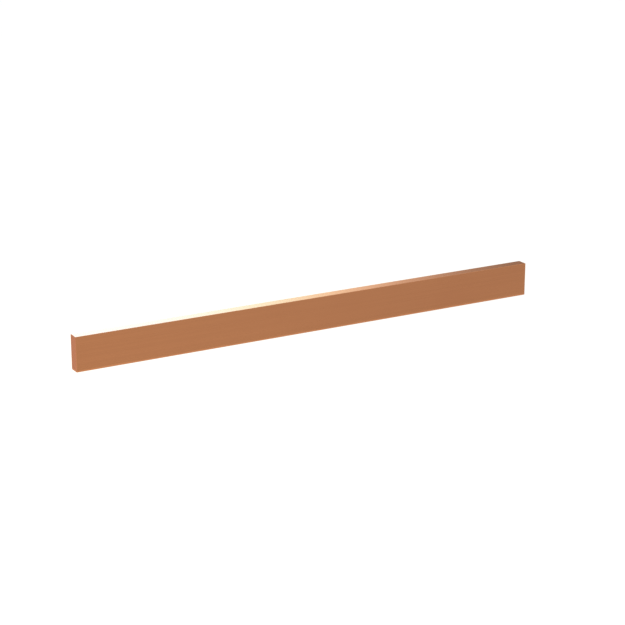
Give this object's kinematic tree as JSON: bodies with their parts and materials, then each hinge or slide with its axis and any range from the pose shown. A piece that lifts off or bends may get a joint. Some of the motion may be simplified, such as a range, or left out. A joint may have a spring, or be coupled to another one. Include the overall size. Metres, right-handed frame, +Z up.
{
  "type": "copper busbar",
  "caption": "Solid rectangular flat bar of bare copper with crisp long edges and square-cut ends, for carrying heavy current in switchgear.",
  "frame": {"origin": "middle of the narrow face that the bar stands on", "axes": "+X along the length; +Y through the thickness, away from the wide face that the picture shows; +Z up, across the width"},
  "size_m": [0.445, 0.01, 0.03],
  "materials": {
    "bare_copper": "satin"
  },
  "bodies": {
    "root": {"busbar": "bare_copper"}
  },
  "joints": []
}
